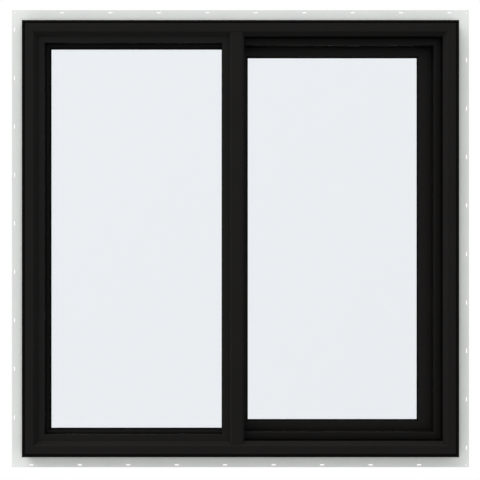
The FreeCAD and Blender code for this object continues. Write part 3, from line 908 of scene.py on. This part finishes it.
def pan_head(radius, height):
    """Domed screw head with a cross recess, its seat at z = 0."""
    rings = 7
    around = 24
    crown_drop = 0.75
    crown_power = 2.4
    recess_half_width = 0.16 * radius
    recess_reach = 0.56 * radius
    recess_depth = 0.55 * height
    recess_taper = 0.9
    mesh = bmesh.new()
    rows = []
    for i in range(rings + 1):
        share = i / rings
        row = []
        for j in range(around):
            angle = 2 * math.pi * j / around
            x = radius * share * math.cos(angle)
            y = radius * share * math.sin(angle)
            z = height * math.sqrt(1 - crown_drop * share**crown_power)
            reach = max(abs(x), abs(y))
            if min(abs(x), abs(y)) < recess_half_width and reach < recess_reach:
                z -= recess_depth * (1 - recess_taper * reach / recess_reach)
            row.append(mesh.verts.new((x, y, z)))
        rows.append(row)
    skirt = [mesh.verts.new((v.co.x, v.co.y, 0.0)) for v in rows[-1]]
    rows.append(skirt)
    for inner, outer in zip(rows, rows[1:]):
        for j in range(around):
            k = (j + 1) % around
            mesh.faces.new([inner[j], outer[j], outer[k], inner[k]])
    mesh.faces.new(list(reversed(skirt)))
    bmesh.ops.remove_doubles(mesh, verts=mesh.verts, dist=MERGE_DISTANCE)
    bmesh.ops.dissolve_degenerate(mesh, edges=mesh.edges, dist=MERGE_DISTANCE)
    bmesh.ops.recalc_face_normals(mesh, faces=mesh.faces)
    data = bpy.data.meshes.new("pan_head")
    mesh.to_mesh(data)
    mesh.free()
    return new_object("pan_head", data)


def screw_tree(material):
    """A head on every point, turned to face the way that the point's attribute says."""
    made = NodeTree("screws", [
        ("Turn", "NodeSocketFloat"), ("Head", "NodeSocketObject"), ("Seed", "NodeSocketInt"),
    ])
    inputs = made.start.outputs
    facing = made.node("GeometryNodeInputNamedAttribute", {"data_type": "FLOAT_VECTOR"}, {
        "Name": "facing",
    })
    upright = made.node("FunctionNodeAlignRotationToVector", {"axis": "Z"}, {
        "Vector": facing.outputs["Attribute"],
    })
    turn = made.node("FunctionNodeRandomValue", {"data_type": "FLOAT"}, {
        "Min": 0.0, "Max": inputs["Turn"], "Seed": inputs["Seed"],
    })
    spin = made.node("ShaderNodeCombineXYZ", None, {"Z": turn.outputs["Value"]})
    rotation = made.node("FunctionNodeEulerToRotation", None, {0: spin.outputs[0]})
    turned = made.node("FunctionNodeRotateRotation", {"rotation_space": "LOCAL"}, {
        "Rotation": upright.outputs[0], "Rotate By": rotation.outputs[0],
    })
    head = made.node("GeometryNodeObjectInfo", None, {"Object": inputs["Head"]})
    placed = made.node("GeometryNodeInstanceOnPoints", None, {
        "Points": inputs["Geometry"], "Instance": head.outputs["Geometry"], "Rotation": turned.outputs[0],
    })
    made.finish(placed.outputs[0], material)
    return made


def screw_set(name, places, size, seed, material, body):
    """Screw heads at (place, facing) pairs, as one mesh that rides on a body."""
    data = bpy.data.meshes.new(name + "_points")
    data.from_pydata([place for place, _ in places], [], [])
    facing = data.attributes.new("facing", "FLOAT_VECTOR", "POINT")
    for point, (_, way) in zip(facing.data, places):
        point.vector = way
    head = pan_head(*size)
    piece = screw_tree(material).apply(new_object(name + "_points", data), {
        "Turn": math.pi, "Head": head, "Seed": seed,
    }, name)
    bpy.data.objects.remove(head)
    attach(piece, body)


class WINDOW_OT_screws(bpy.types.Operator):
    """Make the screws of the lock, of its keeper and of the jambs' inner tracks"""

    bl_idname = "window.screws"
    bl_label = "Screws"

    def execute(self, context):
        sizes = context.scene.window_sizes
        steel = zinc_screw(context.scene.window_looks)
        pan = (sizes.screw_radius, sizes.screw_height)
        flat = (sizes.keeper_screw_radius, sizes.keeper_screw_height)
        for name, places, size, slot, body in (
            ("lock_screw", self.lock_places(sizes), pan, "dark_hardware", "sash"),
            ("keeper_screws", self.keeper_places(sizes), flat, "bare_rail", "frame"),
            ("jamb_screws", self.jamb_places(sizes), pan, "bare_rail", "frame"),
        ):
            screw_set(name, places, size, sizes.screw_seed, steel, body)
        return {"FINISHED"}

    def lock_places(self, sizes):
        """The lower end of the lock's base, clear of its lever."""
        low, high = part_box("sash_lock_base")
        inset = (high.x - low.x) * sizes.lock_screw_inset
        return [(Vector(((low.x + high.x) / 2, high.y, low.z + inset)), ROOM_SIDE)]

    def keeper_places(self, sizes):
        """Both ends of the keeper, on its room side."""
        low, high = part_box("lock_keeper")
        x = (low.x + high.x) / 2
        inset = sizes.keeper_screw_inset
        return [(Vector((x, high.y, z)), ROOM_SIDE) for z in (low.z + inset, high.z - inset)]

    def jamb_places(self, sizes):
        """Even rows on the floor of both jambs' inner tracks."""
        rail_low, rail_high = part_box("sill_rail")
        y = (rail_low.y + rail_high.y) / 2
        low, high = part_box("frame_jamb_left")
        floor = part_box("track_stops")[1].x
        places = []
        for i in range(sizes.jamb_screws):
            z = low.z + (high.z - low.z) * (i + 1) / (sizes.jamb_screws + 1)
            for side in (-1, 1):
                places.append((Vector((side * floor, y, z)), Vector((-side, 0.0, 0.0))))
        return places


class WINDOW_OT_stage(bpy.types.Operator):
    """Set up the floor, the light and the camera of a plain studio"""

    bl_idname = "window.stage"
    bl_label = "Stage"

    def execute(self, context):
        studio = context.scene.window_studio
        self.floor(studio)
        self.world(studio)
        self.lamps(studio)
        self.camera(studio)
        context.scene.view_settings.view_transform = "Standard"
        return {"FINISHED"}

    def floor(self, studio):
        """Round pale floor below the window, as far down as a room's floor would be."""
        sides = 96
        mesh = bmesh.new()
        place = Matrix.Translation((0.0, 0.0, cad_box[0][2] - studio.sill_height))
        bmesh.ops.create_circle(
            mesh, cap_ends=True, segments=sides, radius=studio.floor_radius, matrix=place,
        )
        data = bpy.data.meshes.new("studio_floor")
        mesh.to_mesh(data)
        mesh.free()
        finish = Finish("pale_floor", specular_ior_level=0.2)
        tone = finish.noise(finish.place(), scale=3.0, detail=3.0)
        finish.feed("Base Color", finish.blend(tone, studio.floor_colour, studio.floor_pale))
        finish.feed("Roughness", 0.6 + tone * 0.1)
        data.materials.append(finish.material)
        made = new_object("studio_floor", data)
        made.visible_glossy = False

    def world(self, studio):
        """White past the window and straight through its glass, and grey in reflections."""
        world = bpy.data.worlds.new("studio")
        world.use_nodes = True
        shading = Shading(world.node_tree)
        camera, gloss, clear, reflections = (
            shading.node("ShaderNodeLightPath", output=ray)
            for ray in ("Is Camera Ray", "Is Glossy Ray", "Is Transmission Ray", "Glossy Depth")
        )
        straight = 1 - shading.maths("MINIMUM", reflections, 1.0)
        seen = shading.maths("MAXIMUM", camera, clear * straight)
        way = shading.node("ShaderNodeTexCoord", output="Generated")
        depth = shading.parts(way)[1]
        room_side = shading.maths("MAXIMUM", depth, 0.0)
        sideways = 1 - shading.maths("ABSOLUTE", depth)
        in_gloss = studio.wall_gloss + room_side * studio.room_gloss + sideways * studio.side_gloss
        in_gloss += shading.dot(way, studio.sheen_from) * studio.wall_gloss_slope
        as_light = studio.wall_light * (1 - gloss) + in_gloss * gloss
        strength = seen + as_light * (1 - seen)
        background = shading.node("ShaderNodeBackground", None, {
            "Color": (1.0, 1.0, 1.0), "Strength": strength,
        })
        shading.node("ShaderNodeOutputWorld", None, {"Surface": background}, None)
        bpy.context.scene.world = world

    def lamps(self, studio):
        """One very soft light from high on the left, slightly in front."""
        lamp = bpy.data.lights.new("key", "SUN")
        lamp.energy = studio.key_power
        lamp.angle = studio.key_spread
        made = new_object("key", lamp)
        made.visible_glossy = False
        made.rotation_mode = "QUATERNION"
        made.rotation_quaternion = Vector(studio.key_from).to_track_quat("Z", "Y")

    def camera(self, studio):
        """Square-on in front of the window, at its middle height."""
        data = bpy.data.cameras.new("camera")
        data.lens = studio.camera_lens
        data.sensor_width = 36.0
        data.clip_start = 0.1
        data.clip_end = 100.0
        made = new_object("camera", data)
        low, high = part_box("frame_head")
        height = (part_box("frame_sill")[0].z + high.z) / 2
        across, up = studio.camera_offset
        made.location = (across, low.y - studio.camera_distance, height + up)
        made.rotation_euler = (math.radians(90.0), 0.0, 0.0)
        bpy.context.scene.camera = made


PIECE_OPERATORS = (
    WINDOW_OT_dress_frame,
    WINDOW_OT_dress_fixed_panel,
    WINDOW_OT_dress_sash,
    WINDOW_OT_dress_glazing,
    WINDOW_OT_dress_metal,
    WINDOW_OT_brush_seals,
    WINDOW_OT_screws,
    WINDOW_OT_stage,
)


class WINDOW_PT_pieces(bpy.types.Panel):
    """The window's pieces and what a user would change on them"""

    bl_idname = "WINDOW_PT_pieces"
    bl_label = "Sliding window"
    bl_space_type = "VIEW_3D"
    bl_region_type = "UI"
    bl_category = "Window"

    def draw(self, context):
        layout = self.layout
        for operator in PIECE_OPERATORS:
            layout.operator(operator.bl_idname)
        for group in (context.scene.window_looks, context.scene.window_sizes, context.scene.window_studio):
            column = layout.column(align=True)
            for name in group.__annotations__:
                column.prop(group, name)


SETTINGS = {
    "window_looks": WindowLooks,
    "window_sizes": WindowSizes,
    "window_studio": StudioSettings,
}


def register():
    """Makes the classes and the scene's settings known to Blender."""
    for group in SETTINGS.values():
        bpy.utils.register_class(group)
    for name, group in SETTINGS.items():
        setattr(bpy.types.Scene, name, PointerProperty(type=group))
    for operator in PIECE_OPERATORS:
        bpy.utils.register_class(operator)
    bpy.utils.register_class(WINDOW_PT_pieces)


def unregister():
    """Takes back what register did."""
    bpy.utils.unregister_class(WINDOW_PT_pieces)
    for operator in reversed(PIECE_OPERATORS):
        bpy.utils.unregister_class(operator)
    for name in SETTINGS:
        delattr(bpy.types.Scene, name)
    for group in reversed(list(SETTINGS.values())):
        bpy.utils.unregister_class(group)


def main():
    """Makes every piece in order."""
    register()
    for operator in PIECE_OPERATORS:
        category, name = operator.bl_idname.split(".")
        getattr(getattr(bpy.ops, category), name)()


if __name__ == "__main__":
    main()
